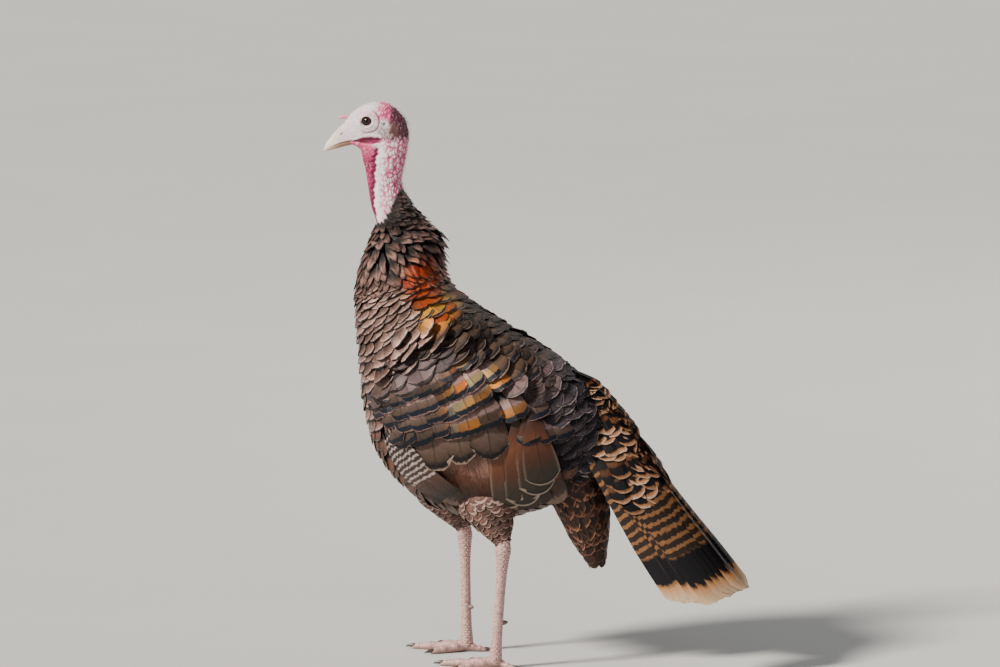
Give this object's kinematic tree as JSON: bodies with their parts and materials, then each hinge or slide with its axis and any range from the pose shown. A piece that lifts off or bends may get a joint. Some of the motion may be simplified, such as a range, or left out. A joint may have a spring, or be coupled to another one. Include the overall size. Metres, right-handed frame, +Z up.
{
  "type": "wild turkey, still museum model",
  "caption": "Life-size standing wild turkey, a young male: bare pink head and neck, bronze plumage, folded wings, closed tail angled down.",
  "frame": {"origin": "on the ground under the bird, midway between the tip of the bill and the tip of the tail, on the plane of symmetry", "axes": "+Z up; the bird faces -X; its left side is at -Y"},
  "size_m": [0.543, 0.2132, 0.7159],
  "materials": {
    "plumage": "bronze-brown body feathers",
    "hackle": "dark brown neck feathers",
    "coverts": "bronze covert feathers with black and amber bands",
    "quills": "brown and white barred flight feathers",
    "tail": "barred tail feathers with a dark band and chestnut tips",
    "neck_skin": "bare pink warted skin",
    "head_skin": "bare bluish-pink skin",
    "horn": "pale horn bill",
    "eye": "wet dark brown eye",
    "scutes": "pinkish scaled legs and toes",
    "claw": "dark horn claws and spurs"
  },
  "bodies": {
    "root": {"bill_lower": "horn", "bill_upper": "horn", "claw_left_hind": "claw", "claw_left_inner": "claw", "claw_left_middle": "claw", "claw_left_outer": "claw", "claw_right_hind": "claw", "claw_right_inner": "claw", "claw_right_middle": "claw", "claw_right_outer": "claw", "eye_left": "eye", "eye_right": "eye", "foot_left": "scutes", "foot_right": "scutes", "head": "head_skin", "neck_bare": "neck_skin", "neck_feathered": "hackle", "shank_left": "scutes", "shank_right": "scutes", "snood": "head_skin", "spur_left": "claw", "spur_right": "claw", "tail": "tail", "tail_coverts": "coverts", "thigh_left": "plumage", "thigh_right": "plumage", "trunk": "plumage", "undertail": "plumage", "wing_left_coverts": "coverts", "wing_left_quills": "quills", "wing_right_coverts": "coverts", "wing_right_quills": "quills"}
  },
  "joints": []
}
